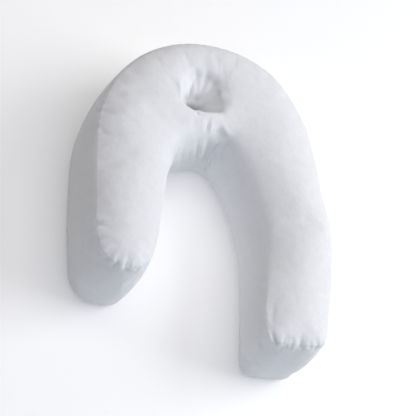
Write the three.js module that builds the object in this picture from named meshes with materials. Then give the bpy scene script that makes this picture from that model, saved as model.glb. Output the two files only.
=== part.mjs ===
import * as THREE from 'three';

// A U-shaped side sleeper pillow: one stuffed cushion with a short leg, a long leg and an ear hole sewn
// through its arch. Four pieces of cloth make the skin: a top panel, a bottom panel, a side wall between
// them, and a sleeve in the ear hole. Stuffing fills it, so the pillow is one closed solid. Millimetres,
// +Z up. It lies on its back, with the arch towards +Y and the short leg on the -X side, and the origin is
// under the middle of its footprint.

// Sections across the U, from the tip of the short leg round the arch to the tip of the long leg. Each
// runs from the inner seam of the top panel to its outer seam, and seam is the height of the top panel's
// seam there. The places are measured from the middle of the arch's circle, and the finished pillow is
// moved to its origin at the end.
const SECTIONS = [
  { name: 'shortTip', innerX: -134, innerY: -221, outerX: -238, outerY: -211, seam: 163 },
  { name: 'shortLower', innerX: -124, innerY: -155, outerX: -239, outerY: -145, seam: 163 },
  { name: 'shortUpper', innerX: -108, innerY: -77, outerX: -236, outerY: -63, seam: 163 },
  { name: 'leftSpring', innerX: -90, innerY: -9, outerX: -229, outerY: 17, seam: 161 },
  { name: 'leftShoulder', innerX: -78, innerY: 32, outerX: -216, outerY: 95, seam: 160 },
  { name: 'leftArch', innerX: -58, innerY: 61, outerX: -179, outerY: 173, seam: 158 },
  { name: 'leftCrown', innerX: -30, innerY: 76, outerX: -111, outerY: 242, seam: 157 },
  { name: 'crown', innerX: 0, innerY: 85, outerX: -22, outerY: 279, seam: 156 },
  { name: 'rightCrown', innerX: 27, innerY: 88, outerX: 75, outerY: 275, seam: 155 },
  { name: 'rightArch', innerX: 47, innerY: 81, outerX: 152, outerY: 231, seam: 154 },
  { name: 'rightShoulder', innerX: 65, innerY: 58, outerX: 200, outerY: 144, seam: 153 },
  { name: 'rightSpring', innerX: 82, innerY: 23, outerX: 215, outerY: 63, seam: 152 },
  { name: 'longUpper', innerX: 95, innerY: -25, outerX: 221, outerY: -10, seam: 151 },
  { name: 'longMiddle', innerX: 101, innerY: -92, outerX: 231, outerY: -87, seam: 149 },
  { name: 'longLower', innerX: 96, innerY: -170, outerX: 218, outerY: -187, seam: 150 },
  { name: 'longEnd', innerX: 88, innerY: -247, outerX: 202, outerY: -259, seam: 152 },
  { name: 'longTip', innerX: 79, innerY: -328, outerX: 187, outerY: -329, seam: 155 },
];

// How the corners of each leg's end are rounded in plan: power 2 is a circle, more is squarer.
const SHORT_END = { radius: 58, power: 2 };
const LONG_END = { radius: 33, power: 2.4 };
const END_WALL_HALF = 14; // half of the straight part of an end wall that is always left

// The ear hole: its middle, its half sizes at the rim, how square its outline is and how far it is turned,
// in degrees. The stuffing crowds it most on its far side, so that it is a funnel there.
const EAR_HOLE = { x: -13, y: 166, halfX: 36, halfY: 39, power: 3, turn: -12 };
const FAR_SIDE = 60; // the direction of that side from the hole's middle, in degrees
const SLEEVE_BULGE = { near: 4, far: 17 }; // how far the sleeve swells into the hole
const SLEEVE_NECK = 0.1; // how soon below the rim it swells, as a share of its height
const RIM_SINK = { near: 12, far: 18 }; // how far the sewn rim of the hole lies below the top around it
const RIM_ROUND = { near: 18, far: 36 }; // how wide the rounding beside the rim is
const RIM_POWER = 2.2; // how the rounding steepens towards the rim

// The skin between its seams.
const CROWN = 20; // how high the top panel rises above its seam
const CROWN_SHOULDER = 60; // how far in from the seam it has risen that much
const CROWN_POWER = 2.6;
const WALL_BULGE = 11; // how far the side wall swells out at mid height
const BOTTOM_SEAM = 14; // height of the bottom panel's seam above the surface
const BOTTOM_ROUND = 30; // how far in from a bottom seam the flat resting face begins

// Creases and ridges of the skin, from one end to the other. A negative depth stands out.
const FOLDS = [
  { name: 'bridge crease', from: [2, 112, 172], to: [0, 94, 172], width: 10, depth: 6 },
  { name: 'inner wall crease', from: [2, 87, 156], to: [26, 90, 60], width: 11, depth: 7 },
  { name: 'inner wall swell, left', from: [-30, 76, 140], to: [-24, 74, 84], width: 20, depth: -3 },
  { name: 'inner wall swell, right', from: [24, 88, 140], to: [46, 78, 84], width: 16, depth: -3 },
  { name: 'bridge ridge, left', from: [-18, 116, 172], to: [-22, 98, 174], width: 12, depth: -2 },
  { name: 'bridge ridge, right', from: [18, 118, 172], to: [28, 102, 174], width: 12, depth: -2 },
  { name: 'sleeve fold, left', from: [-44, 160, 132], to: [-41, 160, 60], width: 9, depth: 3 },
  { name: 'sleeve fold, far left', from: [-30, 192, 132], to: [-29, 190, 60], width: 8, depth: 3 },
  { name: 'sleeve fold, far right', from: [-6, 190, 132], to: [-7, 188, 60], width: 8, depth: 3 },
  { name: 'sleeve fold, right', from: [12, 176, 132], to: [10, 175, 60], width: 9, depth: 2 },
  { name: 'short end gather, left', from: [-212, -238, 158], to: [-206, -222, 172], width: 12, depth: 3 },
  { name: 'short end gather, middle', from: [-184, -250, 158], to: [-183, -232, 173], width: 12, depth: 3 },
  { name: 'short end gather, right', from: [-158, -243, 158], to: [-161, -226, 172], width: 12, depth: 3 },
  { name: 'long end gather, left', from: [100, -331, 152], to: [103, -314, 166], width: 12, depth: 3 },
  { name: 'long end gather, middle', from: [130, -332, 152], to: [131, -314, 166], width: 12, depth: 3 },
  { name: 'long end gather, right', from: [162, -332, 152], to: [160, -314, 166], width: 12, depth: 3 },
];

// How finely the skin is divided.
const HALF_COLUMNS = 7; // from the middle line, or the rim of the hole, to a seam
const WALL_ROWS = 7;
const HOLE_STEPS = 16; // along each half of the hole's rim
const END_STEPS = 7; // round the corners of a leg's end
const BODY_STEP = 0.23; // between the other cuts across the U, in sections
const HOLE_REACH = 0.98; // half of the stretch of the seams that faces the hole, in sections
const SEARCH_STEP = 0.01; // when the hole's place along the U is looked for, in sections
const RIM_POINTS = 240; // of the rim's outline, to which distances are measured
const RIM_SEARCH_STEPS = 1440; // round the rim, when the ends of its two halves are looked for
const MIDDLE_FADE = 1.3; // how soon the middle line, bent to meet the hole, is straight again, in sections

const CLOTH = new THREE.MeshStandardMaterial({ color: 0xeceef3, roughness: 0.9, metalness: 0 });

const last = SECTIONS.length - 1;
const outerSeam = seamCurve('outerX', 'outerY');
const innerSeam = seamCurve('innerX', 'innerY');

function seamCurve(x, y) {
  const points = SECTIONS.map((row) => new THREE.Vector3(row[x], row[y], row.seam));
  return new THREE.CatmullRomCurve3(points, false, 'catmullrom', 0.5);
}

function clamp01(value) {
  return Math.min(Math.max(value, 0), 1);
}

function smooth(value) {
  const t = clamp01(value);
  return t * t * (3 - 2 * t);
}

// The way from 0 at the tip to 1 where the corner of a leg's end has run out.
function cornerShare(distance, end) {
  const u = clamp01(1 - distance / end.radius);
  return (1 - u ** end.power) ** (1 / end.power);
}

// The section at a place along the U, drawn in towards its middle at the two tips.
function sectionAt(place) {
  const outer = outerSeam.getPoint(place / last);
  const inner = innerSeam.getPoint(place / last);
  const middle = outer.clone().add(inner).multiplyScalar(0.5);
  const half = outer.clone().sub(middle);
  const full = half.length();
  const [end, tip] = place < last / 2 ? [SHORT_END, 0] : [LONG_END, 1];
  const tipMiddle = outerSeam.getPoint(tip).add(innerSeam.getPoint(tip)).multiplyScalar(0.5);
  const corner = Math.min(end.radius, full - END_WALL_HALF);
  const width = full - corner * (1 - cornerShare(middle.distanceTo(tipMiddle), end));
  half.multiplyScalar(width / full);
  return { outer: middle.clone().add(half), inner: middle.clone().sub(half), middle };
}

// Where the hole's middle lies along the U: the section line that passes through it.
function placeOfHole() {
  const archStart = SECTIONS.findIndex((row) => row.name === 'leftArch');
  const archEnd = SECTIONS.findIndex((row) => row.name === 'rightArch');
  let best = { place: archStart, miss: Infinity };
  for (let place = archStart; place <= archEnd; place += SEARCH_STEP) {
    const { outer, inner } = sectionAt(place);
    const across = outer.clone().sub(inner);
    const toHole = new THREE.Vector3(EAR_HOLE.x, EAR_HOLE.y, inner.z).sub(inner);
    const miss = Math.abs(across.x * toHole.y - across.y * toHole.x) / across.length();
    if (miss < best.miss) {
      best = { place, miss };
    }
  }
  return best.place;
}

// A point of the hole's rim: angle 0 is its +X side, and a quarter turn is its +Y side.
function rimPoint(angle) {
  const bend = (value) => Math.sign(value) * Math.abs(value) ** (2 / EAR_HOLE.power);
  const x = EAR_HOLE.halfX * bend(Math.cos(angle));
  const y = EAR_HOLE.halfY * bend(Math.sin(angle));
  const point = new THREE.Vector3(x, y, 0);
  point.applyAxisAngle(new THREE.Vector3(0, 0, 1), THREE.MathUtils.degToRad(EAR_HOLE.turn));
  return point.add(new THREE.Vector3(EAR_HOLE.x, EAR_HOLE.y, 0));
}

// The angle of the rim's point that reaches farthest along the U, square to the cut at place. With way -1
// it is the one that reaches farthest back. It is looked for in the turn that begins at from.
function rimEndAngle(place, way, from) {
  const { outer, inner } = sectionAt(place);
  const along = new THREE.Vector3(outer.y - inner.y, inner.x - outer.x, 0).multiplyScalar(way);
  let best = { angle: from, reach: -Infinity };
  for (let step = 0; step < RIM_SEARCH_STEPS; step += 1) {
    const angle = from + 2 * Math.PI * (step / RIM_SEARCH_STEPS);
    const reach = rimPoint(angle).dot(along);
    if (reach > best.reach) {
      best = { angle, reach };
    }
  }
  return best.angle;
}

// A size that goes from its near value to its far one round the hole.
function roundTheHole(sizes, x, y) {
  const turn = Math.atan2(y - EAR_HOLE.y, x - EAR_HOLE.x) - THREE.MathUtils.degToRad(FAR_SIDE);
  return THREE.MathUtils.lerp(sizes.near, sizes.far, 0.5 + 0.5 * Math.cos(turn));
}

// The cuts across the U that the skin's grid follows. Beside the hole a cut has two middle points, one on
// each half of the rim, and elsewhere the two are the same.
function makeCuts() {
  const holePlace = placeOfHole();
  const cuts = [];
  const span = (from, to) => sectionAt(from).middle.distanceTo(sectionAt(to).middle);
  const shortReach = SHORT_END.radius / span(0, 1);
  const longReach = LONG_END.radius / span(last - 1, last);
  const holeStart = holePlace - HOLE_REACH;
  const holeEnd = holePlace + HOLE_REACH;
  const back = rimEndAngle(holeStart, -1, 0);
  const ahead = rimEndAngle(holeEnd, 1, Math.PI);

  // The middle line outside the hole, bent so that it runs into the ends of the rim.
  const bentMiddle = (place) => {
    const beforeHole = place < holePlace;
    const seamPlace = beforeHole ? holeStart : holeEnd;
    const rimEnd = rimPoint(beforeHole ? back : ahead);
    const away = Math.abs(place - seamPlace) / MIDDLE_FADE;
    const offset = rimEnd.sub(sectionAt(seamPlace).middle).multiplyScalar(1 - smooth(away));
    return sectionAt(place).middle.add(offset);
  };
  const addCut = (place, nearHole) => {
    const { outer, inner } = sectionAt(place);
    const middle = bentMiddle(place);
    cuts.push({ outer, inner, outerMiddle: middle, innerMiddle: middle, nearHole, open: false });
  };
  const addRun = (from, to) => {
    const steps = Math.round((to - from) / BODY_STEP);
    for (let k = 0; k < steps; k += 1) {
      const place = from + ((to - from) * k) / steps;
      addCut(place, 1 - clamp01(Math.min(Math.abs(place - holeStart), Math.abs(place - holeEnd))));
    }
  };

  for (let k = 0; k < END_STEPS; k += 1) {
    addCut(shortReach * (1 - Math.cos((Math.PI / 2) * (k / END_STEPS))), 0);
  }
  addRun(shortReach, holeStart);
  for (let k = 0; k <= HOLE_STEPS; k += 1) {
    const share = k / HOLE_STEPS;
    const { outer, inner } = sectionAt(holeStart + 2 * HOLE_REACH * share);
    const outerMiddle = rimPoint(THREE.MathUtils.lerp(back, ahead - 2 * Math.PI, share));
    const innerMiddle = rimPoint(THREE.MathUtils.lerp(back, ahead, share));
    const open = k > 0 && k < HOLE_STEPS;
    cuts.push({ outer, inner, outerMiddle, innerMiddle, nearHole: 1, open });
  }
  addRun(holeEnd + BODY_STEP / 2, last - longReach);
  for (let k = END_STEPS; k >= 0; k -= 1) {
    addCut(last - longReach * (1 - Math.cos((Math.PI / 2) * (k / END_STEPS))), 0);
  }
  return cuts;
}

// Where each column lies on its way from the middle to a seam. They crowd at the seam, and beside the hole
// at the rim too.
function columnShare(column, nearHole) {
  const u = column / HALF_COLUMNS;
  const plain = 0.45 * u + 0.55 * Math.sin((Math.PI / 2) * u);
  const crowded = 0.35 * u + 0.65 * 0.5 * (1 - Math.cos(Math.PI * u));
  return plain + (crowded - plain) * nearHole;
}

// Distance in plan from a point to a closed outline.
function distanceTo(outline, x, y) {
  let best = Infinity;
  outline.forEach((a, k) => {
    const b = outline[(k + 1) % outline.length];
    const dx = b.x - a.x;
    const dy = b.y - a.y;
    const length2 = dx * dx + dy * dy || 1;
    const t = clamp01(((x - a.x) * dx + (y - a.y) * dy) / length2);
    best = Math.min(best, Math.hypot(x - a.x - t * dx, y - a.y - t * dy));
  });
  return best;
}

function topHeight(seam, fromSeam, fromRim, rimSink, rimRound) {
  const rise = CROWN * (1 - (1 - clamp01(fromSeam / CROWN_SHOULDER)) ** CROWN_POWER);
  return seam + rise - rimSink * (1 - clamp01(fromRim / rimRound)) ** RIM_POWER;
}

function bottomHeight(fromSeam, fromRim) {
  const u = 1 - clamp01(Math.min(fromSeam, fromRim) / BOTTOM_ROUND);
  return BOTTOM_SEAM * (1 - Math.sqrt(1 - u * u));
}

// The closed skin, as shared vertices and triangles.
class Skin {
  positions = [];
  triangles = [];

  vertex(x, y, z) {
    this.positions.push(x, y, z);
    return this.positions.length / 3 - 1;
  }

  at(index) {
    return new THREE.Vector3().fromArray(this.positions, index * 3);
  }

  quad(a, b, c, d) {
    this.triangles.push(a, b, c, a, c, d);
  }

  // A panel half: rows follow the U, and columns run outwards across it.
  panel(rows, facesUp) {
    for (let i = 0; i + 1 < rows.length; i += 1) {
      for (let j = 0; j + 1 < rows[i].length; j += 1) {
        const [a, b, c, d] = [rows[i][j], rows[i + 1][j], rows[i + 1][j + 1], rows[i][j + 1]];
        if (facesUp) {
          this.quad(a, b, c, d);
        } else {
          this.quad(a, d, c, b);
        }
      }
    }
  }

  // A wall from one closed loop of vertices down to another. It swells to the left of the loop's way, by
  // what swell gives for the vertex at the top and the share of the way down.
  wall(upper, lower, swell) {
    const count = upper.length;
    const grid = [upper];
    for (let row = 1; row < WALL_ROWS; row += 1) {
      const t = row / WALL_ROWS;
      grid.push(upper.map((top, k) => {
        const way = this.at(upper[(k + 1) % count]).sub(this.at(upper[(k + count - 1) % count]));
        const left = new THREE.Vector3(-way.y, way.x, 0).normalize();
        const point = this.at(top).lerp(this.at(lower[k]), t);
        point.addScaledVector(left, swell(this.at(top), t));
        return this.vertex(point.x, point.y, point.z);
      }));
    }
    grid.push(lower);
    for (let row = 0; row < WALL_ROWS; row += 1) {
      for (let k = 0; k < count; k += 1) {
        const next = (k + 1) % count;
        this.quad(grid[row][k], grid[row][next], grid[row + 1][next], grid[row + 1][k]);
      }
    }
  }

  geometry() {
    const geometry = new THREE.BufferGeometry();
    geometry.setAttribute('position', new THREE.Float32BufferAttribute(this.positions, 3));
    geometry.setIndex(this.triangles);
    geometry.computeVertexNormals();
    return geometry;
  }
}

// One face of the pillow: its two panel halves, the loop of its outer seam and the loop of the hole's rim.
function makeFace(skin, cuts, heightAt) {
  const inner = [];
  const outer = [];
  cuts.forEach((cut) => {
    const point = (middle, seam, column) => {
      const spot = middle.clone().lerp(seam, columnShare(column, cut.nearHole));
      return skin.vertex(spot.x, spot.y, heightAt(spot.x, spot.y, cut.outer.z, column === HALF_COLUMNS));
    };
    const innerRow = [];
    const outerRow = [];
    for (let column = HALF_COLUMNS; column > 0; column -= 1) {
      innerRow.push(point(cut.innerMiddle, cut.inner, column));
    }
    innerRow.push(point(cut.innerMiddle, cut.inner, 0));
    outerRow.push(cut.open ? point(cut.outerMiddle, cut.outer, 0) : innerRow[HALF_COLUMNS]);
    for (let column = 1; column <= HALF_COLUMNS; column += 1) {
      outerRow.push(point(cut.outerMiddle, cut.outer, column));
    }
    inner.push(innerRow);
    outer.push(outerRow);
  });

  const end = cuts.length - 1;
  const seamLoop = [
    ...inner[0],
    ...outer[0].slice(1),
    ...outer.slice(1).map((row) => row[HALF_COLUMNS]),
    ...outer[end].slice(0, -1).reverse(),
    ...inner[end].slice(0, -1).reverse(),
    ...inner.slice(1, -1).reverse().map((row) => row[0]),
  ];
  const firstOpen = cuts.findIndex((cut) => cut.open);
  const lastOpen = firstOpen + HOLE_STEPS - 2;
  const nearHalf = inner.slice(firstOpen - 1, lastOpen + 2).map((row) => row[HALF_COLUMNS]);
  const farHalf = outer.slice(firstOpen, lastOpen + 1).map((row) => row[0]);
  return { inner, outer, seamLoop, rimLoop: [...nearHalf, ...farHalf.reverse()] };
}

// Presses the creases into the skin and raises the ridges, each along the mean normal of the skin round it.
function pressFolds(geometry) {
  const position = geometry.getAttribute('position');
  const normal = geometry.getAttribute('normal');
  const points = [];
  const normals = [];
  const moves = [];
  for (let k = 0; k < position.count; k += 1) {
    points.push(new THREE.Vector3().fromBufferAttribute(position, k));
    normals.push(new THREE.Vector3().fromBufferAttribute(normal, k));
    moves.push(new THREE.Vector3());
  }
  const nearest = new THREE.Vector3();
  FOLDS.forEach((fold) => {
    const line = new THREE.Line3(new THREE.Vector3(...fold.from), new THREE.Vector3(...fold.to));
    const weights = points.map((point) => {
      line.closestPointToPoint(point, true, nearest);
      return Math.exp(-((nearest.distanceTo(point) / fold.width) ** 2));
    });
    const outward = new THREE.Vector3();
    weights.forEach((weight, k) => outward.addScaledVector(normals[k], weight));
    outward.normalize();
    weights.forEach((weight, k) => moves[k].addScaledVector(outward, -weight * fold.depth));
  });
  moves.forEach((move, k) => {
    const { x, y, z } = move.add(points[k]);
    position.setXYZ(k, x, y, z);
  });
  geometry.computeVertexNormals();
}

function makePillow() {
  const cuts = makeCuts();
  const first = cuts[0];
  const end = cuts[cuts.length - 1];
  const outline = [
    ...cuts.map((cut) => cut.outer),
    end.outerMiddle,
    ...cuts.map((cut) => cut.inner).reverse(),
    first.outerMiddle,
  ];
  const rim = Array.from({ length: RIM_POINTS }, (_, k) => rimPoint((2 * Math.PI * k) / RIM_POINTS));
  const top = (x, y, seam, onSeam) => {
    const fromSeam = onSeam ? 0 : distanceTo(outline, x, y);
    const [sink, round] = [RIM_SINK, RIM_ROUND].map((sizes) => roundTheHole(sizes, x, y));
    return topHeight(seam, fromSeam, distanceTo(rim, x, y), sink, round);
  };
  const bottom = (x, y) => bottomHeight(distanceTo(outline, x, y), distanceTo(rim, x, y));
  const wallSwell = (_, t) => WALL_BULGE * 4 * t * (1 - t);
  const sleeveSwell = ({ x, y }, t) => {
    const shape = (1 - Math.exp(-t / SLEEVE_NECK)) * (1 - t ** 4);
    return roundTheHole(SLEEVE_BULGE, x, y) * shape;
  };

  const skin = new Skin();
  const upper = makeFace(skin, cuts, top);
  const lower = makeFace(skin, cuts, bottom);
  skin.panel(upper.inner, true);
  skin.panel(upper.outer, true);
  skin.panel(lower.inner, false);
  skin.panel(lower.outer, false);
  skin.wall(upper.seamLoop, lower.seamLoop, wallSwell);
  skin.wall(upper.rimLoop, lower.rimLoop, sleeveSwell);

  const geometry = skin.geometry();
  pressFolds(geometry);
  geometry.computeBoundingBox();
  const { min, max } = geometry.boundingBox;
  geometry.translate(-(min.x + max.x) / 2, -(min.y + max.y) / 2, -min.z);
  const pillow = new THREE.Mesh(geometry, CLOTH);
  pillow.name = 'pillow';
  return pillow;
}

const group = new THREE.Group();
group.add(makePillow());

export default group;
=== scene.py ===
import math

import bpy
import numpy as np
from mathutils import Matrix, Vector


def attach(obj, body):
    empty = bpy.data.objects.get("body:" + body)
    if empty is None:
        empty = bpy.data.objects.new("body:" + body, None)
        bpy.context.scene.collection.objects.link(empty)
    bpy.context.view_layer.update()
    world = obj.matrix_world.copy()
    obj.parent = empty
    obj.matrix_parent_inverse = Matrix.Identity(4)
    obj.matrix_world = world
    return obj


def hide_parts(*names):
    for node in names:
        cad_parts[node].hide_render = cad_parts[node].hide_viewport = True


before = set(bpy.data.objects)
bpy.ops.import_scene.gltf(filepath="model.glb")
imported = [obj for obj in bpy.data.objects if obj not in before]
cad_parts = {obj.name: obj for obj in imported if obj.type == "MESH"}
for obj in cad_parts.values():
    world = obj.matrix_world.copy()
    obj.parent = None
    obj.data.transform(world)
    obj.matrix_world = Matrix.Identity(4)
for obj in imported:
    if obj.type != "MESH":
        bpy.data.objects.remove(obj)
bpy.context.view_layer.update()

# A white U-shaped side sleeper pillow, lying on its back on a pale floor. Lengths in the tables are
# millimetres, and MM turns them into the scene's metres. Places are measured from the middle of the
# arch.
MM = 0.001
ARCH_MIDDLE = np.array([4.1, 23.2])  # where that middle is in the frame

# The seams of the top panel: sections across the U, from the short leg's tip round the arch to the long
# leg's. Columns: inner seam x, y, outer seam x, y, height of the seam.
SECTIONS = np.array([
    (-134, -221, -238, -211, 163),  # short leg's tip
    (-124, -155, -239, -145, 163),
    (-108, -77, -236, -63, 163),
    (-90, -9, -229, 17, 161),  # left spring of the arch
    (-78, 32, -216, 95, 160),
    (-58, 61, -179, 173, 158),
    (-30, 76, -111, 242, 157),
    (0, 85, -22, 279, 156),  # crown of the arch
    (27, 88, 75, 275, 155),
    (47, 81, 152, 231, 154),
    (65, 58, 200, 144, 153),
    (82, 23, 215, 63, 152),  # right spring of the arch
    (95, -25, 221, -10, 151),
    (101, -92, 231, -87, 149),
    (96, -170, 218, -187, 150),
    (88, -247, 202, -259, 152),
    (79, -328, 187, -329, 155),  # long leg's tip
], float)
LAST = len(SECTIONS) - 1
ARCH_CROWN = 7

# The rounded corners of the legs' ends: radius, power of the rounding, and how far along the leg, in
# sections, the end's own part of the grid reaches.
SHORT_END = {"radius": 58.0, "power": 2.0, "reach": 1.2}
LONG_END = {"radius": 33.0, "power": 2.4, "reach": 0.8}
END_LEAST = 14.0  # half of the straight part that is always left between a tip's corners

# The ear hole: a rounded square that narrows away from the gap by HOLE_TAPER.
HOLE_MIDDLE = np.array([-10.0, 166.0])
HOLE_HALF = np.array([34.0, 39.0])
HOLE_POWER = 3.3
HOLE_TURN = math.radians(-3)
HOLE_TAPER = 0.15
HOLE_SEARCH = (5, 9)  # the sections between which it lies
HOLE_SPAN = 0.98  # how far, in sections, its part of the grid reaches to each side
# Its rim is sunk and rounded, most on the far side, from which the stuffing crowds it.
FAR_SIDE = math.radians(85)
RIM_SINK = {"near": 8.0, "far": 15.0}
RIM_ROUND = {"near": 9.0, "far": 22.0}
RIM_POWER = 2.6
# The tightest ring of its sleeve, and how far the stuffing pushes that ring aside. A place of less than
# 1 puts it nearer to the rim.
TIGHT_RADIUS = 19.0
TIGHT_SHIFT = np.array([-4.0, -18.0])
TIGHT_PLACE = 0.6

# The skin between its seams.
CROWN = 14.0  # how far the top rises above its seam
CROWN_SHOULDER = 48.0  # how far in from the seam it reaches that
CROWN_POWER = 2.6
WALL_BULGE = 6.0
BOTTOM_SEAM = 14.0  # height of the bottom panel's seam
BOTTOM_ROUND = 30.0

# The grid: columns in half of the U's width, rows down a wall, steps along one side of the ear hole,
# cuts along the rest of the body and cuts in a leg's end.
HALF_COLUMNS = 16
WALL_ROWS = 17
HOLE_STEPS = 36
BODY_CUTS = 176
END_CUTS = 18
WALL_GRADING = 1.25  # more than 1 crowds a wall's rows near its top
HOLE_FADE = 1.3  # how many sections the grid's middle takes to swing over to the ear hole
STEP_SHORTENED = 0.65  # the share by which the cuts' first step beside the ear hole is shorter
STEP_FADE = 4  # over how many cuts that fades
# The weights of an even spread of the columns and of one that crowds them, to the seam alone or, beside
# the ear hole, to its rim as well.
PLAIN_MIX = (0.55, 0.45)
CROWDED_MIX = (0.5, 0.25)

# How many points stand for a curve while it is measured.
END_SAMPLES = 200
CORNER_SAMPLES = 24
RIM_SAMPLES = 480
HOLE_END_SAMPLES = 1441
SEARCH_SAMPLES = 2000
SEAM_SAMPLES = 120

# Where the top is shifted to the left. The long leg's overhangs the gap towards its end, and the short
# leg's is drawn back from the gap at its tip. A shift grows from a pair's first y or x over its second.
OVERHANG = {"most": 12.0, "y": (-90.0, -140.0), "x": (135.0, -50.0)}
DRAWN_BACK = {"most": 6.0, "y": (-130.0, -70.0), "x": (-200.0, 60.0)}

# On the right shoulder the top leans over the gap too: where, how far round that place, and the shift.
LEAN_PLACE = np.array([82.0, 25.0])
LEAN_REACH = 75.0
LEAN = np.array([-8.0, -3.5])
SPOT_POWER = 4  # more makes such a place, and a puckered spot, more level and its edge sharper

# Stretches of the top seam where the cover is drawn so soft that the seam doesn't show. Columns: 0 for
# the inner seam and 1 for the outer, the sections where the stretch begins and ends, its width, how
# soft it is.
SOFT_SEAMS = np.array([
    (0, 2.0, 15.6, 12, 1.0),
    (1, 1.0, 2.8, 10, 0.6),
])
SOFT_FADE = 150.0  # how long a stretch takes to begin and to end
SOFT_ROUNDS = 16
SOFT_FREE = 0.4  # a seam that is softer than this isn't held while the cover is filled
SOFT_PLAIN = 1.5  # puckers fade out this much faster than the seam does
# They are softened again in the filled cover: rounds, how many times as wide, and how strongly.
FILLED_ROUNDS = 4
FILLED_SPREAD = 6.0
FILLED_SHARE = 0.8

# The puckers that the stitching draws along the seams. Stronger at these spots: x, y, reach, strength.
PUCKERED = np.array([
    (-186, -228, 62, 1.0),  # the short leg's end
    (-225, -165, 45, 0.8),
    (132, -325, 70, 1.0),  # the long leg's end
    (70, -290, 40, 0.8),
    (-212, 92, 70, 0.8),  # the left shoulder
    (-150, 205, 50, 0.5),
])
PUCKER_LEAST = 0.22  # their strength away from those spots
PUCKER_DEPTH = 4.2
PUCKER_WIDTH = 3.6
PUCKER_REACH = 32.0
PUCKER_PITCH = 13.0
PUCKER_LOW = 0.4  # their strength along the bottom panel's seam
WALL_SHARE = 0.9  # how far they reach down a wall, next to how far up the top
GROOVE = 1.0  # depth of the line that the stitching itself leaves
GROOVE_WIDTH = 1.8
# A pucker is a valley less a weaker and wider one, which leaves a low ridge at both of its sides.
RIDGE_SHARE = 0.45
RIDGE_SPREAD = 2
PUCKER_SPAN = 4  # how many widths away it is cut off
PUCKER_FADE = 1.4  # more makes it shallow sooner on its way from the seam
# Between which values each pucker's own measures are drawn, as shares of those above. A slant is a
# share of the distance to the seam.
DRAWN = {
    "strength": (0.35, 1.0),
    "reach": (0.45, 1.2),
    "width": (0.8, 1.5),
    "slant": (-0.3, 0.3),
    "pitch": (0.6, 1.6),
}

# The cloth.
THREAD_PITCH = 0.8
CLOTH_DARK = (0.80, 0.805, 0.817, 1)
CLOTH_LIGHT = (0.84, 0.845, 0.855, 1)
# What its relief is made of. A scale counts per millimetre, and a distance is metres.
WOVEN = {"strength": 0.25, "distance": 0.0002}
SLUB = {"scale": 0.9, "detail": 3.0, "strength": 0.3, "distance": 0.0004}
SLUB_STRETCH = 0.16  # the slubs' scale along a thread, next to the one across it
RUMPLE = {"scale": 0.06, "detail": 4.0, "strength": 0.35, "distance": 0.004}

# The filling: the cloth is larger than its space by these shares, near a seam and in the body.
SLACK_SEAM = 0.05
SLACK_BODY = 0.006
SLACK_REACH = 22.0
PRESSURE = 4.0
CLOTH_MASS = 0.15
STRETCHING = 15
SHEARING = 5
BENDING = 0.3
QUALITY = 5
FRAMES = 20
MOST_MOVE = 12.0  # the farthest that a point may move
LYING = 1.0  # a point lower than this stays where it lies

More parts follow.
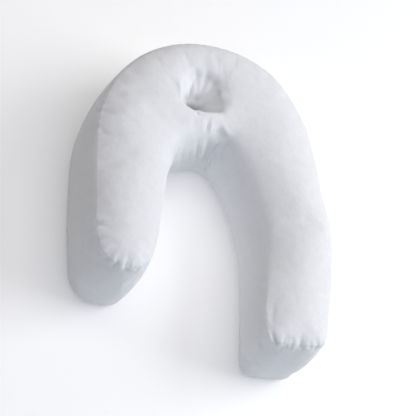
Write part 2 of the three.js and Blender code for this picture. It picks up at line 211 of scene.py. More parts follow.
# Creases and ridges of the cover, as broken lines near its surface. A negative depth stands out. A fold
# fades out towards both of its ends, and a tuck only towards its last one, away from the seam that
# draws it in. The fades are shares of the line's length.
FOLD_FADE = 0.45
TUCK_FADE = 0.8
FOLDS = [
    # On the bridge between the ear hole and the gap.
    {"line": [(-2, 115, 166), (-6, 98, 158), (-12, 86, 152)], "width": 3.4, "depth": 2.6},
    {"line": [(-15, 114, 168), (-18, 84, 154)], "width": 4.0, "depth": -1.4},
    {"line": [(2, 111, 166), (1, 94, 157), (0, 85, 148)], "width": 3.6, "depth": -2.2},
    {"line": [(9, 103, 161), (22, 95, 147), (33, 85, 134)], "width": 10.0, "depth": 4.4},
    {"line": [(18, 113, 165), (22, 107, 163), (34, 94, 156), (48, 86, 151)],
     "width": 4.5, "depth": -1.8},
    {"line": [(-30, 122, 169), (-27, 110, 168)], "width": 2.6, "depth": 2.6},
    {"line": [(-33, 114, 168), (-36, 84, 156)], "width": 6.0, "depth": 1.0},
    # Down the arch's inner wall, where the part on the left stands out in front of that on the right.
    {"line": [(-5, 84, 146), (-7, 79, 135), (0, 73, 115), (10, 72, 83), (12, 72, 50)],
     "width": 4.5, "depth": -2.2},
    {"line": [(4, 92, 152), (4, 85, 143), (8, 80, 131), (13, 76, 112), (17, 75, 91), (22, 76, 60),
              (23, 77, 30)],
     "width": 6.0, "depth": 4.6},
    {"line": [(-20, 82, 152), (-21, 77, 141), (-10, 72, 115), (6, 71, 77), (9, 72, 50)],
     "width": 4.0, "depth": 3.0},
    {"line": [(-31, 71, 139), (-20, 67, 113), (-7, 68, 77)], "width": 4.5, "depth": -1.8},
    {"line": [(-47, 62, 138), (-40, 58, 109), (-19, 67, 55)], "width": 5.0, "depth": 2.4},
    # In the ear hole: the crease on its left, the fold that hangs over it, a valley, and a soft ridge.
    {"line": [(-20, 200, 155), (-22, 191, 151), (-23, 181, 146), (-23, 174, 137), (-23, 166, 128),
              (-24, 155, 105)],
     "width": 3.0, "depth": 8.5},
    {"line": [(-40, 203, 161), (-41, 182, 160), (-40, 168, 155), (-39, 155, 150)],
     "width": 6.0, "depth": -3.5},
    {"line": [(-50, 196, 165), (-51, 175, 165), (-50, 158, 160), (-49, 145, 160)],
     "width": 4.0, "depth": 3.0},
    {"line": [(-17, 204, 152), (-16, 187, 140), (-16, 174, 122), (-17, 164, 100), (-17, 160, 80)],
     "width": 12.0, "depth": -1.0},
    # The lips at the left and the right of the ear hole.
    {"line": [(-61, 188, 170), (-62, 165, 172), (-59, 135, 171)], "width": 4.5, "depth": -3.0},
    {"line": [(20, 200, 158), (28, 173, 163), (24, 142, 162)], "width": 5.0, "depth": -2.0},
    # The ridge that the seam makes near the long leg's end, and the slack beside it.
    {"line": [(82, -226, 150), (73, -281, 149), (73, -312, 147)], "width": 4.5, "depth": -1.4},
    {"line": [(93, -232, 158), (83, -285, 158), (82, -316, 158)], "width": 5.0, "depth": 1.2},
]
TUCKS = [
    # In the long leg's end.
    {"line": [(87, -332, 150), (84, -320, 156), (76, -300, 161)], "width": 3.4, "depth": 5.0},
    {"line": [(98, -332, 150), (96, -306, 163)], "width": 4.0, "depth": -2.0},
    {"line": [(110, -332, 150), (108, -308, 163)], "width": 3.2, "depth": 3.2},
    {"line": [(123, -332, 150), (121, -308, 164)], "width": 4.0, "depth": -2.0},
    {"line": [(137, -332, 150), (133, -302, 165)], "width": 3.4, "depth": 5.0},
    {"line": [(150, -332, 150), (147, -308, 164)], "width": 4.0, "depth": -2.0},
    {"line": [(166, -330, 150), (161, -305, 163)], "width": 3.4, "depth": 4.0},
    # In the left shoulder.
    {"line": [(-219, 101, 150), (-208, 95, 167), (-186, 88, 171)], "width": 5.0, "depth": 3.6},
    {"line": [(-228, 64, 150), (-217, 50, 166), (-200, 35, 171)], "width": 5.0, "depth": 3.0},
    {"line": [(-201, 140, 150), (-168, 119, 170)], "width": 4.6, "depth": 3.4},
    {"line": [(-182, 175, 150), (-162, 144, 170)], "width": 4.4, "depth": 3.0},
    # In the scalloped corner and the end of the short leg.
    {"line": [(-240, -126, 160), (-212, -133, 172)], "width": 5.5, "depth": -2.0},
    {"line": [(-241, -137, 160), (-218, -142, 171)], "width": 4.4, "depth": 2.4},
    {"line": [(-241, -150, 160), (-218, -152, 171)], "width": 4.6, "depth": -2.6},
    {"line": [(-237, -168, 160), (-212, -168, 172)], "width": 4.4, "depth": 2.2},
    {"line": [(-231, -188, 160), (-208, -180, 172)], "width": 5.0, "depth": -2.2},
    {"line": [(-224, -206, 156), (-202, -186, 172)], "width": 4.4, "depth": 3.4},
    {"line": [(-208, -218, 156), (-196, -190, 172)], "width": 4.4, "depth": 3.4},
    {"line": [(-196, -222, 156), (-189, -192, 172)], "width": 4.6, "depth": -1.8},
    {"line": [(-184, -224, 156), (-183, -196, 172)], "width": 4.0, "depth": 2.8},
    {"line": [(-173, -222, 156), (-172, -190, 172)], "width": 4.6, "depth": -1.8},
    {"line": [(-161, -220, 156), (-158, -182, 173)], "width": 4.0, "depth": 3.8},
]

# Folds drawn through the rim of the ear hole. Columns: angle at the start and at the end in degrees,
# then how far down the sleeve they start and end (less than 0 is out on the top), width, depth.
HOLE_FOLDS = np.array([
    (104, 88, -14, 32, 5, 3.0),
    (92, 74, -10, 40, 5, -2.0),
    (76, 60, -16, 44, 5, 3.5),
    (62, 50, -8, 34, 5, -1.5),
    (46, 38, -12, 40, 6, 2.5),
    (112, 118, -42, -4, 5, 1.2),
    (122, 126, -36, -4, 5, -1.0),
    (84, 82, -46, -6, 6, 1.2),
    (64, 66, -40, -6, 6, -1.0),
    (22, 18, -20, 30, 6, 2.0),
    (4, 0, -12, 26, 6, -2.0),
    (-20, -22, -18, 24, 5, 1.8),
    (-48, -46, -12, 30, 5, 2.2),
    (-72, -70, -10, 24, 5, -1.5),
    (-96, -94, -8, 26, 4, 1.8),
    (-120, -118, -9, 14, 4, 3.5),
    (-146, -150, -12, 34, 12, 7.5),
    (-170, -176, -10, 30, 5, 1.5),
], float)
HOLE_FOLD_POWER = 0.7  # less than 1 keeps a fold deep for more of its length
BELOW_ALL = 999.0  # stands for a place down the sleeve that no fold reaches

# The studio, in metres. The camera looks down from the left front, and its angles are degrees.
CAMERA = {"heading": 51.34, "tilt": 38.0, "roll": 39.92, "lens": 155.77}
CAMERA_PLACE = (-1.2488, -1.5927, 2.6833)
# Columns: name, place, size, power in watts, colour. All of them shine at LIT_PLACE.
LIGHTS = [
    ("overhead", (0, 0, 4), 4, 89, (1, 0.97, 0.975)),
    ("key", (3.2, 0, 2.4), 3, 109, (0.94, 0.965, 1)),
    ("front", (0, -3.4, 2.2), 3, 18, (0.44, 0.63, 1)),
]
LIT_PLACE = (0, 0, 0.05)
WORLD_STRENGTH = 0.08
FLOOR_SIZE = 40
FLOOR_COLOUR = (0.9, 0.9, 0.9, 1)
FLOOR_GLOW = 0.18


def smooth(x):
    """Goes from 0 to 1 while x does, with level ends."""
    t = np.clip(x, 0, 1)
    return t * t * (3 - 2 * t)


def seam_point(place, columns):
    """Points of a uniform Catmull-Rom curve through columns of SECTIONS. Its places count sections."""
    rows = SECTIONS[:, columns]
    rows = np.vstack([2 * rows[0] - rows[1], rows, 2 * rows[-1] - rows[-2]])
    place = np.clip(np.asarray(place, float), 0, LAST)
    k = np.minimum(place.astype(int), LAST - 1)
    t = (place - k)[..., None]
    a, b, c, d = rows[k], rows[k + 1], rows[k + 2], rows[k + 3]
    squared, cubed = 2 * a - 5 * b + 4 * c - d, 3 * b - a - 3 * c + d
    return 0.5 * (2 * b + (c - a) * t + squared * t**2 + cubed * t**3)


def inner_seam(place):
    return seam_point(place, [0, 1, 4])


def outer_seam(place):
    return seam_point(place, [2, 3, 4])


def middle_line(place):
    return (inner_seam(place) + outer_seam(place)) / 2


def rim_point(angle):
    """Points of the ear hole's rim in plan, at angles from before the rounded square is formed."""
    def bend(v):
        return np.sign(v) * np.abs(v) ** (2 / HOLE_POWER)

    y = bend(np.sin(angle))
    x = HOLE_HALF[0] * bend(np.cos(angle)) * (1 - HOLE_TAPER * y)
    y = HOLE_HALF[1] * y
    c, s = math.cos(HOLE_TURN), math.sin(HOLE_TURN)
    return HOLE_MIDDLE + np.stack([c * x - s * y, s * x + c * y], -1)


def hole_end(place, way):
    """The angle of the rim's point that reaches farthest along the U, ahead (way 1) or back (way -1) of
    a cut."""
    cut = way * (outer_seam(place) - inner_seam(place))
    angles = np.linspace(-math.pi, math.pi, HOLE_END_SAMPLES)
    return angles[(rim_point(angles) @ [cut[1], -cut[0]]).argmax()]


def round_the_hole(sizes, points):
    """A size that goes from its near value to its far one round the hole."""
    away = points[..., :2] - HOLE_MIDDLE
    far = 0.5 + 0.5 * np.cos(np.arctan2(away[..., 1], away[..., 0]) - FAR_SIDE)
    return sizes["near"] + (sizes["far"] - sizes["near"]) * far


def resample(points, shares):
    """Points of a polyline at shares of its length."""
    run = np.concatenate([[0], np.cumsum(np.linalg.norm(np.diff(points, axis=0), axis=1))])
    at = np.asarray(shares) * run[-1]
    return np.stack([np.interp(at, run, points[:, k]) for k in range(points.shape[1])], 1)


def distance_to(outline, points):
    """Distance in plan from each point to a closed outline."""
    a, b = outline, np.roll(outline, -1, 0)
    ab = b - a
    length2 = np.maximum((ab**2).sum(1), 1e-12)
    best = np.full(len(points), np.inf)
    for k in range(len(a)):
        ap = points - a[k]
        t = np.clip(ap @ ab[k] / length2[k], 0, 1)
        best = np.minimum(best, np.hypot(*(ap - t[:, None] * ab[k]).T))
    return best


def along(line, points, closed=True):
    """For each point, its distance to a line and how far along the line it is."""
    step = np.roll(line, -1, 0) - line
    if not closed:
        step = step[:-1]
    length = np.linalg.norm(step, axis=1)
    start = np.concatenate([[0], np.cumsum(length)[:-1]])
    best, place = np.full(len(points), np.inf), np.zeros(len(points))
    for k in range(len(step)):
        t = np.clip((points - line[k]) @ step[k] / max(length[k], 1e-9)**2, 0, 1)
        d = np.linalg.norm(points - line[k] - t[:, None] * step[k], axis=1)
        near = d < best
        best[near], place[near] = d[near], start[k] + t[near] * length[k]
    return best, place


def column_shares(count, near_hole):
    """Shares of a half's width, from the middle to the seam. They crowd towards the seam, and beside
    the ear hole (near_hole 1) towards its rim as well."""
    u = np.linspace(0, 1, count + 1)
    plain = PLAIN_MIX[0] * u + PLAIN_MIX[1] * np.sin(math.pi / 2 * u)
    crowded = CROWDED_MIX[0] * u + CROWDED_MIX[1] * (1 - np.cos(math.pi * u))
    return plain + (crowded - plain) * near_hole


def graded(count):
    """Shares of a run of cuts that leads away from the ear hole, without its last. The first steps are
    short."""
    steps = 1 - STEP_SHORTENED * np.exp(-np.arange(count) / STEP_FADE)
    return (np.cumsum(steps) / steps.sum())[:-1]


def end_patch(end, tip, into, columns):
    """The grid of a leg's end. Its first row goes round the end wall, from one rounded corner to the
    other."""
    reach = tip + into * end["reach"]
    places = np.linspace(tip, reach, END_SAMPLES)
    inner, outer = inner_seam(places), outer_seam(places)
    middle, half = (outer + inner) / 2, (outer - inner) / 2
    from_tip = np.linalg.norm((middle - middle[0])[:, :2], axis=1)

    def corner(angle, side):
        n = 2 / end["power"]
        d = end["radius"] * (1 - np.sin(angle) ** n)
        cut = min(end["radius"], np.linalg.norm(half[0, :2]) - END_LEAST) * (1 - np.cos(angle) ** n)
        m = np.stack([np.interp(d, from_tip, middle[:, k]) for k in range(3)], 1)
        h = np.stack([np.interp(d, from_tip, half[:, k]) for k in range(3)], 1)
        full = np.linalg.norm(h[:, :2], axis=1)
        return m + side * h * ((full - cut) / full)[:, None]

    eighth = np.linspace(math.pi / 4, 0, CORNER_SAMPLES)
    quarter = np.linspace(math.pi / 4, math.pi / 2, CORNER_SAMPLES)
    beyond = from_tip > end["radius"]
    inner_side = np.vstack([corner(eighth, -1), inner[beyond]])
    outer_side = np.vstack([corner(eighth, 1), outer[beyond]])
    wall = np.vstack([corner(quarter, -1), corner(quarter[::-1], 1)])
    a = np.linspace(0, 1, END_CUTS + 1)[:, None, None]
    low = 0.5 * (1 - columns)[::-1]
    b = np.concatenate([low, 1 - low[::-1][1:]])
    near = resample(wall, 0.5 * b + 0.5 * np.linspace(0, 1, len(b)))[None]
    far = inner[-1] + (outer[-1] - inner[-1]) * b[:, None]
    left = resample(inner_side, a.ravel())[:, None]
    right = resample(outer_side, a.ravel())[:, None]
    b = b[None, :, None]
    patch = (1 - a) * near + a * far[None] + (1 - b) * left + b * right
    near_line = (1 - b) * near[:, :1] + b * near[:, -1:]
    far_line = (1 - b) * far[0] + b * far[-1]
    return patch - ((1 - a) * near_line + a * far_line)


def make_cuts(half_columns):
    """The skin's grid in plan, with each cut's seam height. Returns the inner half as (cuts, columns,
    xyz) from its seam to the middle, the outer one from the middle to its seam, and the first and the
    end of the cuts that the ear hole opens."""
    places = np.linspace(*HOLE_SEARCH, SEARCH_SAMPLES)
    inner, outer = inner_seam(places)[:, :2], outer_seam(places)[:, :2]
    across, to_hole = outer - inner, HOLE_MIDDLE - inner
    miss = np.abs(across[:, 0] * to_hole[:, 1] - across[:, 1] * to_hole[:, 0])
    hole = places[(miss / np.linalg.norm(across, axis=1)).argmin()]
    start, stop = hole - HOLE_SPAN, hole + HOLE_SPAN

    plain = column_shares(half_columns, 0)
    short = end_patch(SHORT_END, 0, 1, plain)
    long = end_patch(LONG_END, LAST, -1, plain)[::-1]
    first, last = SHORT_END["reach"], LAST - LONG_END["reach"]
    before_count = round(BODY_CUTS * (start - first) / (last - first))
    after_count = round(BODY_CUTS * (last - stop) / (last - first))
    before = start - (start - first) * graded(before_count)[::-1]
    after = stop + (last - stop) * graded(after_count)
    rows_in, rows_out = [*short[:, :half_columns + 1]], [*short[:, half_columns:]]

    def add(place, m_in, m_out, near_hole):
        share = column_shares(half_columns, near_hole)[:, None]
        i, o = inner_seam(place), outer_seam(place)
        rows_in.append((m_in + (i - m_in) * share)[::-1])
        rows_out.append(m_out + (o - m_out) * share)

    def add_run(run, edge, angle):
        """Adds the cuts up to an edge of the ear hole's part, where their middle meets the rim."""
        offset = rim_point(angle) - middle_line(edge)[:2]
        for place in run:
            away = abs(place - edge)
            m = middle_line(place)
            m[:2] += offset * (1 - smooth(away / HOLE_FADE))
            add(place, m, m, max(0.0, 1 - away))

    back, ahead = hole_end(start, -1) % (2 * math.pi), hole_end(stop, 1)
    add_run(before, start, back)
    for k, place in enumerate(np.linspace(start, stop, HOLE_STEPS + 1)):
        near_side = back + (ahead + 2 * math.pi - back) * k / HOLE_STEPS
        far_side = back + (ahead - back) * k / HOLE_STEPS
        z = middle_line(place)[2]
        add(place, np.append(rim_point(near_side), z), np.append(rim_point(far_side), z), 1)
    add_run(after, stop, ahead)
    rows_in += [*long[:, :half_columns + 1]]
    rows_out += [*long[:, half_columns:]]
    open_from = len(short) + len(before) + 1
    return np.array(rows_in), np.array(rows_out), open_from, open_from + HOLE_STEPS - 1


class Skin:
    """Vertices and four-sided faces of the closed skin."""

    def __init__(self):
        self.points = []
        self.faces = []
        self.threads = []  # where each face's corners are in its piece of cloth
        self.count = 0

    def add(self, points):
        first = self.count
        self.points.append(points.reshape(-1, 3))
        self.count += points.size // 3
        return np.arange(first, self.count).reshape(points.shape[:-1])

    def grid(self, ids, threads, flip=False):
        for values, out in ((ids[..., None], self.faces), (threads, self.threads)):
            quads = np.stack([values[:-1, :-1], values[:-1, 1:], values[1:, 1:], values[1:, :-1]], 2)
            quads = quads.reshape(-1, 4, values.shape[2])
            out.append(quads[:, ::-1] if flip else quads)


def edge_of(inner, outer):
    """What a panel's two halves hold along its seam, in order round it."""
    return np.concatenate([inner[0], outer[0, 1:], outer[1:, -1], outer[-1, :-1][::-1],
                           inner[-1, :-1][::-1], inner[1:-1, 0][::-1]])


def panel_face(skin, inner, outer, open_from, open_to, up):
    """Adds a panel's two halves to the skin. Returns the loops of its seam and of the hole's rim."""
    ids_in = skin.add(inner)
    ids_out = np.empty(ids_in.shape, int)
    ids_out[:, 1:] = skin.add(outer[:, 1:])
    ids_out[:, 0] = ids_in[:, -1]
    ids_out[open_from:open_to, 0] = skin.add(outer[open_from:open_to, 0])
    skin.grid(ids_in, inner[..., :2], flip=up)
    skin.grid(ids_out, outer[..., :2], flip=up)
    rim = np.concatenate([ids_in[open_from - 1:open_to + 1, -1], ids_out[open_from:open_to, 0][::-1]])
    return edge_of(ids_in, ids_out), rim


def outward(loop):
    """Level directions square to a loop, to the left of the way round."""
    way = np.roll(loop, -1, 0) - np.roll(loop, 1, 0)
    left = np.stack([-way[:, 1], way[:, 0], np.zeros(len(way))], 1)
    return left / np.linalg.norm(left, axis=1)[:, None]


def add_wall(skin, upper, lower, swell, place=1.0):
    """A wall between two loops. swell is how far each of its lines swells at the most, and a place of
    less than 1 puts that nearer to the top."""
    points = np.concatenate(skin.points)
    top, bottom = points[upper], points[lower]
    t = ((np.arange(1, WALL_ROWS) / WALL_ROWS) ** WALL_GRADING)[:, None, None]
    between = top + (bottom - top) * t + swell * np.sin(math.pi * t**place)
    ids = np.vstack([upper, skin.add(between), lower])
    step = np.linalg.norm(np.roll(top, -1, 0) - top, axis=1)
    u = np.concatenate([[0], np.cumsum(step)])
    v = np.concatenate([[0], t.ravel(), [1]]) * np.linalg.norm(top - bottom, axis=1).mean()
    skin.grid(np.hstack([ids, ids[:, :1]]), np.stack(np.meshgrid(u, v), -1))


def shift_left(shift, x, y):
    """How far a part of the top is shifted to the left."""
    (from_y, over_y), (from_x, over_x) = shift["y"], shift["x"]
    return shift["most"] * smooth((y - from_y) / over_y) * smooth((x - from_x) / over_x)


def build_skin():
    """The closed skin before it's filled. Returns its points, faces, corners' threads and seams."""
    inner, outer, open_from, open_to = make_cuts(HALF_COLUMNS)
    outline = edge_of(inner[..., :2], outer[..., :2])
    rim = rim_point(np.linspace(0, 2 * math.pi, RIM_SAMPLES + 1)[:-1])

    def top(grid, seam_column):
        flat = grid.reshape(-1, 3)
        d = distance_to(outline, flat[:, :2]).reshape(grid.shape[:2])
        d[:, seam_column] = 0
        r = distance_to(rim, flat[:, :2]).reshape(grid.shape[:2])
        r[open_from - 1:open_to + 1, -1 - seam_column] = 0
        rise = CROWN * (1 - (1 - np.clip(d / CROWN_SHOULDER, 0, 1)) ** CROWN_POWER)
        u = 1 - np.clip(r / round_the_hole(RIM_ROUND, grid), 0, 1)
        grid[..., 2] += rise - round_the_hole(RIM_SINK, grid) * u**RIM_POWER
        x, y = grid[..., 0], grid[..., 1]
        left = shift_left(OVERHANG, x, y) * (x > 0) + shift_left(DRAWN_BACK, x, y) * (x < 0)
        from_place = np.linalg.norm(grid[..., :2] - LEAN_PLACE, axis=-1)
        leaning = np.exp(-(from_place / LEAN_REACH) ** SPOT_POWER)
        grid[..., 0] -= left
        grid[..., :2] += leaning[..., None] * LEAN
        return grid

    def bottom(grid):
        flat = grid.reshape(-1, 3)
        d = np.minimum(distance_to(outline, flat[:, :2]), distance_to(rim, flat[:, :2]))
        u = 1 - np.clip(d / BOTTOM_ROUND, 0, 1)
        grid[..., 2] = (BOTTOM_SEAM * (1 - np.sqrt(1 - u * u))).reshape(grid.shape[:2])
        return grid

    skin = Skin()
    low_in, low_out = inner.copy(), outer.copy()
    top_seam, top_rim = panel_face(skin, top(inner, 0), top(outer, -1), open_from, open_to, True)
    low_seam, low_rim = panel_face(skin, bottom(low_in), bottom(low_out), open_from, open_to, False)
    points = np.concatenate(skin.points)
    add_wall(skin, top_seam, low_seam, WALL_BULGE * outward(points[top_seam]))
    from_middle = points[top_rim, :2] - HOLE_MIDDLE
    tight = from_middle * TIGHT_RADIUS / np.linalg.norm(from_middle, axis=1)[:, None]
    tight += TIGHT_SHIFT
    add_wall(skin, top_rim, low_rim, np.pad(tight - from_middle, ((0, 0), (0, 1))), TIGHT_PLACE)
    seams = {"top": top_seam, "low": low_seam, "rim": top_rim, "low rim": low_rim}
    faces = np.concatenate(skin.faces)[..., 0]
    return np.concatenate(skin.points), faces, np.concatenate(skin.threads), seams


def soft_share(points, spread=1.0):
    """How far each point belongs to the soft stretches of the top seam, made spread times as wide."""
    share = np.zeros(len(points))
    for side, start, stop, width, most in SOFT_SEAMS:
        places = np.linspace(start, stop, SEAM_SAMPLES)
        line = (outer_seam if side else inner_seam)(places)
        away, place = along(line, points, closed=False)
        run = np.linalg.norm(np.diff(line, axis=0), axis=1).sum()
        ends = smooth(place / SOFT_FADE) * smooth((run - place) / SOFT_FADE)
        share = np.maximum(share, most * ends * np.exp(-(away / (width * spread)) ** 2))
    return share


def soften(points, faces, share, rounds):
    """Draws each point towards the mean of its neighbours, as far as its share says."""
    ends = np.vstack([faces[:, [k, (k + 1) % 4]] for k in range(4)])
    count = np.bincount(ends[:, 0], minlength=len(points))[:, None]
    for _ in range(rounds):
        total = [np.bincount(ends[:, 0], points[ends[:, 1], k], len(points)) for k in range(3)]
        points = points + (np.stack(total, 1) / count - points) * share[:, None]
    return points


def press_folds(points, normals):
    """Moves points along their normals by FOLDS and TUCKS, whose lines are laid on the surface."""
    depth = np.zeros(len(points))
    for fold in FOLDS + TUCKS:
        line = np.array(fold["line"], float)
        line = np.array([points[((points - spot) ** 2).sum(1).argmin()] for spot in line])
        away, place = along(line, points, closed=False)
        left = 1 - place / np.linalg.norm(np.diff(line, axis=0), axis=1).sum()
        if fold in TUCKS:
            fade = smooth(left / TUCK_FADE)
        else:
            fade = smooth(left / FOLD_FADE) * smooth((1 - left) / FOLD_FADE)
        depth += fold["depth"] * fade * np.exp(-(away / fold["width"]) ** 2)
    return points - normals * depth[:, None]


def press_hole_folds(points, normals):
    """Moves points along their normals by the folds of HOLE_FOLDS."""
    away = points[:, :2] - HOLE_MIDDLE
    c, s = math.cos(HOLE_TURN), math.sin(HOLE_TURN)
    x, y = (away @ [[c, -s], [s, c]]).T / HOLE_HALF[:, None]
    x /= 1 - HOLE_TAPER * np.clip(y, -1, 1)
    level = (np.abs(x) ** HOLE_POWER + np.abs(y) ** HOLE_POWER) ** (1 / HOLE_POWER)
    radius = np.linalg.norm(away, axis=1)
    rim_height = SECTIONS[ARCH_CROWN, 4] + CROWN - round_the_hole(RIM_SINK, points)
    outside = radius * (1 / np.maximum(level, 1e-6) - 1)
    down = np.where(level < 1, rim_height - points[:, 2], outside)
    down[points[:, 2] < rim_height / 2] = BELOW_ALL
    angle = np.arctan2(away[:, 1], away[:, 0])
    depth = np.zeros(len(points))
    for start, stop, top, low, width, deep in HOLE_FOLDS:
        t = np.clip((down - top) / (low - top), 0, 1)
        turn = angle - np.radians(start + (stop - start) * t)
        off = np.minimum(radius, HOLE_HALF[0]) * ((turn + math.pi) % (2 * math.pi) - math.pi)
        depth += deep * np.exp(-(off / width) ** 2) * np.sin(math.pi * t) ** HOLE_FOLD_POWER
    return points - normals * depth[:, None]


def pucker(points, normals, seam, most):
    """Moves points along their normals by the puckers along a seam. most is a point's share of them."""
    line = points[seam]
    away, place = along(line, points)
    run = np.linalg.norm(np.roll(line, -1, 0) - line, axis=1)
    ends = np.concatenate([[0], np.cumsum(run)])
    seam_height = np.interp(place, ends, np.append(line[:, 2], line[0, 2]))
    reach_share = np.where(points[:, 2] < seam_height - 1, WALL_SHARE, 1.0)
    rng = np.random.default_rng(len(seam))
    depth = GROOVE * np.exp(-(away / GROOVE_WIDTH) ** 2)
    at = 0.0
    while at < ends[-1] - PUCKER_PITCH / 2:
        spot = [np.interp(at, ends, np.append(line[:, k], line[0, k])) for k in (0, 1)]
        from_spots = np.hypot(*(PUCKERED[:, :2] - spot).T) / PUCKERED[:, 2]
        strongest = (np.exp(-from_spots ** SPOT_POWER) * PUCKERED[:, 3]).max()
        strength = max(PUCKER_LEAST, strongest) * rng.uniform(*DRAWN["strength"])
        reach = PUCKER_REACH * rng.uniform(*DRAWN["reach"]) * (0.5 + 0.5 * strength)
        width = PUCKER_WIDTH * rng.uniform(*DRAWN["width"])
        slant = rng.uniform(*DRAWN["slant"])
        off = (place - at - slant * away + ends[-1] / 2) % ends[-1] - ends[-1] / 2
        near = np.flatnonzero((away < reach) & (np.abs(off) < PUCKER_SPAN * width))
        ridges = RIDGE_SHARE * np.exp(-(off[near] / (RIDGE_SPREAD * width)) ** 2)
        valley = np.exp(-(off[near] / width) ** 2) - ridges
        fade = np.clip(1 - away[near] / (reach * reach_share[near]), 0, 1) ** PUCKER_FADE
        depth[near] += PUCKER_DEPTH * strength * valley * fade
        at += PUCKER_PITCH * rng.uniform(*DRAWN["pitch"])
    return points - normals * (depth * most)[:, None]


def new_mesh(name, points, faces, threads):
    mesh = bpy.data.meshes.new(name)
    mesh.from_pydata(points.tolist(), [], faces.tolist())
    mesh.uv_layers.new(name="threads").data.foreach_set("uv", threads.astype(np.float32).ravel())
    mesh.shade_smooth()
    obj = bpy.data.objects.new(name, mesh)
    bpy.context.scene.collection.objects.link(obj)
    return obj


def get_points(obj, what="vertices", name="co"):
    out = np.empty(len(obj.data.vertices) * 3, np.float32)
    getattr(obj.data, what).foreach_get(name, out)
    return out.reshape(-1, 3).astype(float)


def set_points(obj, points):
    obj.data.vertices.foreach_set("co", (points * MM).astype(np.float32).ravel())
    obj.data.update()


def evaluated(obj):
    return obj.evaluated_get(bpy.context.evaluated_depsgraph_get())


def inflate(pillow, points, seams, soft):
    """Fills the cover: cloth a little larger than its space, under pressure, held at its seams and
    where it lies."""
    held = np.zeros(len(points), bool)
    slack = np.zeros(len(points))
    for loop in seams.values():
        held[loop] = True
        slack = np.maximum(slack, np.exp(-along(points[loop], points)[0] / SLACK_REACH))
    held &= soft < SOFT_FREE
    held |= points[:, 2] < LYING
    slack *= 1 - soft
    for name, weights in (("held", held.astype(float)), ("slack", slack)):
        group = pillow.vertex_groups.new(name=name)
        for level in np.unique(weights.round(2)):
            group.add(np.flatnonzero(weights.round(2) == level).tolist(), float(level), "REPLACE")
    cloth = pillow.modifiers.new("cloth", "CLOTH")
    cloth.point_cache.frame_end = FRAMES
    cloth.collision_settings.use_collision = False
    settings = cloth.settings
    settings.quality = QUALITY
    settings.mass = CLOTH_MASS
    settings.tension_stiffness = STRETCHING
    settings.compression_stiffness = STRETCHING
    settings.shear_stiffness = SHEARING
    settings.bending_stiffness = BENDING
    settings.use_pressure = True
    settings.uniform_pressure_force = PRESSURE
    settings.effector_weights.gravity = 0
    settings.vertex_group_mass = "held"
    settings.vertex_group_shrink = "slack"
    settings.shrink_min = -SLACK_BODY
    settings.shrink_max = -SLACK_SEAM
    for frame_number in range(1, FRAMES + 1):
        bpy.context.scene.frame_set(frame_number)
    filled = np.empty(len(points) * 3, np.float32)
    evaluated(pillow).data.vertices.foreach_get("co", filled)
    pillow.modifiers.remove(cloth)
    pillow.vertex_groups.clear()
    bpy.context.scene.frame_set(1)
    move = filled.reshape(-1, 3) / MM - points
    far = np.linalg.norm(move, axis=1)[:, None]
    return points + move * MOST_MOVE / np.maximum(far, MOST_MOVE)


def subdivide(obj):
    """Puts one Catmull-Clark subdivision into the mesh itself."""
    obj.modifiers.new("subdivision", "SUBSURF").levels = 1
    old = obj.data
    obj.data = bpy.data.meshes.new_from_object(evaluated(obj))
    obj.modifiers.clear()
    bpy.data.meshes.remove(old)


def add_node(tree, kind, inputs=None, **settings):
    """Adds a node. inputs maps its sockets to plain values or to other nodes' outputs."""
    node = tree.nodes.new(kind)
    for name, value in settings.items():
        setattr(node, name, value)
    for socket, value in (inputs or {}).items():
        if isinstance(value, bpy.types.NodeSocket):
            tree.links.new(value, node.inputs[socket])
        else:
            node.inputs[socket].default_value = value
    return node


def cloth_material():
    """White plain-woven cloth. Its threads follow the cloth's own coordinates, in millimetres."""
    mat = bpy.data.materials.new("white_cloth")
    mat.use_nodes = True
    tree = mat.node_tree
    bsdf = tree.nodes["Principled BSDF"]
    threads = add_node(tree, "ShaderNodeUVMap", uv_map="threads").outputs[0]
    parts = add_node(tree, "ShaderNodeSeparateXYZ", {0: threads})

    def math_node(operation, first, second=None):
        inputs = {0: first} if second is None else {0: first, 1: second}
        return add_node(tree, "ShaderNodeMath", inputs, operation=operation).outputs[0]

    def noise(where, relief):
        inputs = {"Vector": where, "Scale": relief["scale"], "Detail": relief["detail"]}
        return add_node(tree, "ShaderNodeTexNoise", inputs).outputs[0]

    def bump(height, relief, under=None):
        inputs = {"Height": height, "Strength": relief["strength"], "Distance": relief["distance"]}
        if under:
            inputs["Normal"] = under
        return add_node(tree, "ShaderNodeBump", inputs).outputs[0]

    def thread_wave(axis):
        return math_node("SINE", math_node("MULTIPLY", axis, math.pi / THREAD_PITCH))

    weave = math_node("MULTIPLY", thread_wave(parts.outputs[0]), thread_wave(parts.outputs[1]))
    stretch = {"Vector": threads, "Scale": (1.0, SLUB_STRETCH, 1.0)}
    slub = noise(add_node(tree, "ShaderNodeMapping", stretch).outputs[0], SLUB)
    rumple = noise(threads, RUMPLE)
    woven = bump(weave, WOVEN)
    slubbed = bump(slub, SLUB, woven)
    rumpled = bump(rumple, RUMPLE, slubbed)
    tone = math_node("ADD", slub, rumple)
    shade = add_node(tree, "ShaderNodeMapRange", {"Value": tone, "From Min": 0.7, "From Max": 1.3})
    mixed = {0: shade.outputs[0], 6: CLOTH_DARK, 7: CLOTH_LIGHT}
    colour = add_node(tree, "ShaderNodeMix", mixed, data_type="RGBA")
    tree.links.new(colour.outputs[2], bsdf.inputs["Base Color"])
    tree.links.new(rumpled, bsdf.inputs["Normal"])
    bsdf.inputs["Roughness"].default_value = 0.9
    bsdf.inputs["Sheen Weight"].default_value = 0.12
    bsdf.inputs["Sheen Roughness"].default_value = 0.5
    bsdf.inputs["Subsurface Weight"].default_value = 0.5
    bsdf.inputs["Subsurface Radius"].default_value = (1, 0.95, 0.9)
    bsdf.inputs["Subsurface Scale"].default_value = 0.02
    return mat


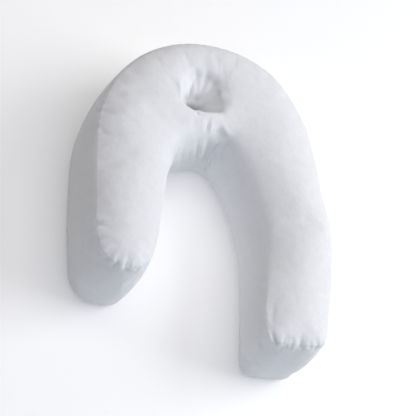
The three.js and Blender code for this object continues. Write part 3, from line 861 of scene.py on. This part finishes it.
def make_pillow():
    points, faces, threads, seams = build_skin()
    soft = soft_share(points)
    points = soften(points, faces, soft, SOFT_ROUNDS)
    pillow = new_mesh("pillow_cover", points * MM, faces, threads)
    filled = inflate(pillow, points, seams, soft)
    share = FILLED_SHARE * soft_share(points, FILLED_SPREAD)
    set_points(pillow, soften(filled, faces, share, FILLED_ROUNDS))
    subdivide(pillow)
    plain = 1 - np.clip(soft_share(get_points(pillow) / MM) * SOFT_PLAIN, 0, 1)
    presses = (
        press_folds,
        press_hole_folds,
        lambda points, normals: pucker(points, normals, seams["top"], plain),
        lambda points, normals: pucker(points, normals, seams["low"], PUCKER_LOW),
    )
    for press in presses:
        normals = get_points(pillow, "vertex_normals", "vector")
        set_points(pillow, press(get_points(pillow) / MM, normals))
    points = get_points(pillow) / MM
    points[:, :2] += ARCH_MIDDLE
    points[:, 2] = np.maximum(points[:, 2], 0)
    set_points(pillow, points)
    pillow.data.materials.append(cloth_material())
    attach(pillow, "root")
    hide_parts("pillow")


def make_floor():
    bpy.ops.mesh.primitive_plane_add(size=FLOOR_SIZE)
    floor = bpy.context.object
    floor.name = "floor"
    mat = bpy.data.materials.new("floor")
    mat.use_nodes = True
    bsdf = mat.node_tree.nodes["Principled BSDF"]
    bsdf.inputs["Base Color"].default_value = FLOOR_COLOUR
    bsdf.inputs["Emission Color"].default_value = (1, 1, 1, 1)
    bsdf.inputs["Emission Strength"].default_value = FLOOR_GLOW
    floor.data.materials.append(mat)


def make_camera():
    heading, tilt, roll = [math.radians(CAMERA[name]) for name in ("heading", "tilt", "roll")]
    level_part = math.sin(tilt)
    forward = Vector((level_part * math.cos(heading), level_part * math.sin(heading), -math.cos(tilt)))
    level = forward.cross(Vector((0, 0, 1))).normalized()
    right = Matrix.Rotation(-roll, 3, forward) @ level
    up = right.cross(forward)
    turn = Matrix((right, up, -forward)).transposed().to_4x4()
    data = bpy.data.cameras.new("camera")
    data.lens = CAMERA["lens"]
    data.clip_end = 50
    camera = bpy.data.objects.new("camera", data)
    camera.matrix_world = Matrix.Translation(CAMERA_PLACE) @ turn
    bpy.context.scene.collection.objects.link(camera)
    bpy.context.scene.camera = camera


def make_light():
    world = bpy.data.worlds.new("studio")
    bpy.context.scene.world = world
    world.use_nodes = True
    background = world.node_tree.nodes["Background"]
    background.inputs["Color"].default_value = (1, 1, 1, 1)
    background.inputs["Strength"].default_value = WORLD_STRENGTH
    for name, place, size, energy, colour in LIGHTS:
        data = bpy.data.lights.new(name, "AREA")
        data.size = size
        data.energy = energy
        data.color = colour
        light = bpy.data.objects.new(name, data)
        light.location = place
        aim = Vector(LIT_PLACE) - Vector(place)
        light.rotation_euler = aim.to_track_quat("-Z", "Y").to_euler()
        bpy.context.scene.collection.objects.link(light)
    bpy.context.scene.view_settings.view_transform = "Standard"


make_camera()
make_light()
make_floor()
make_pillow()
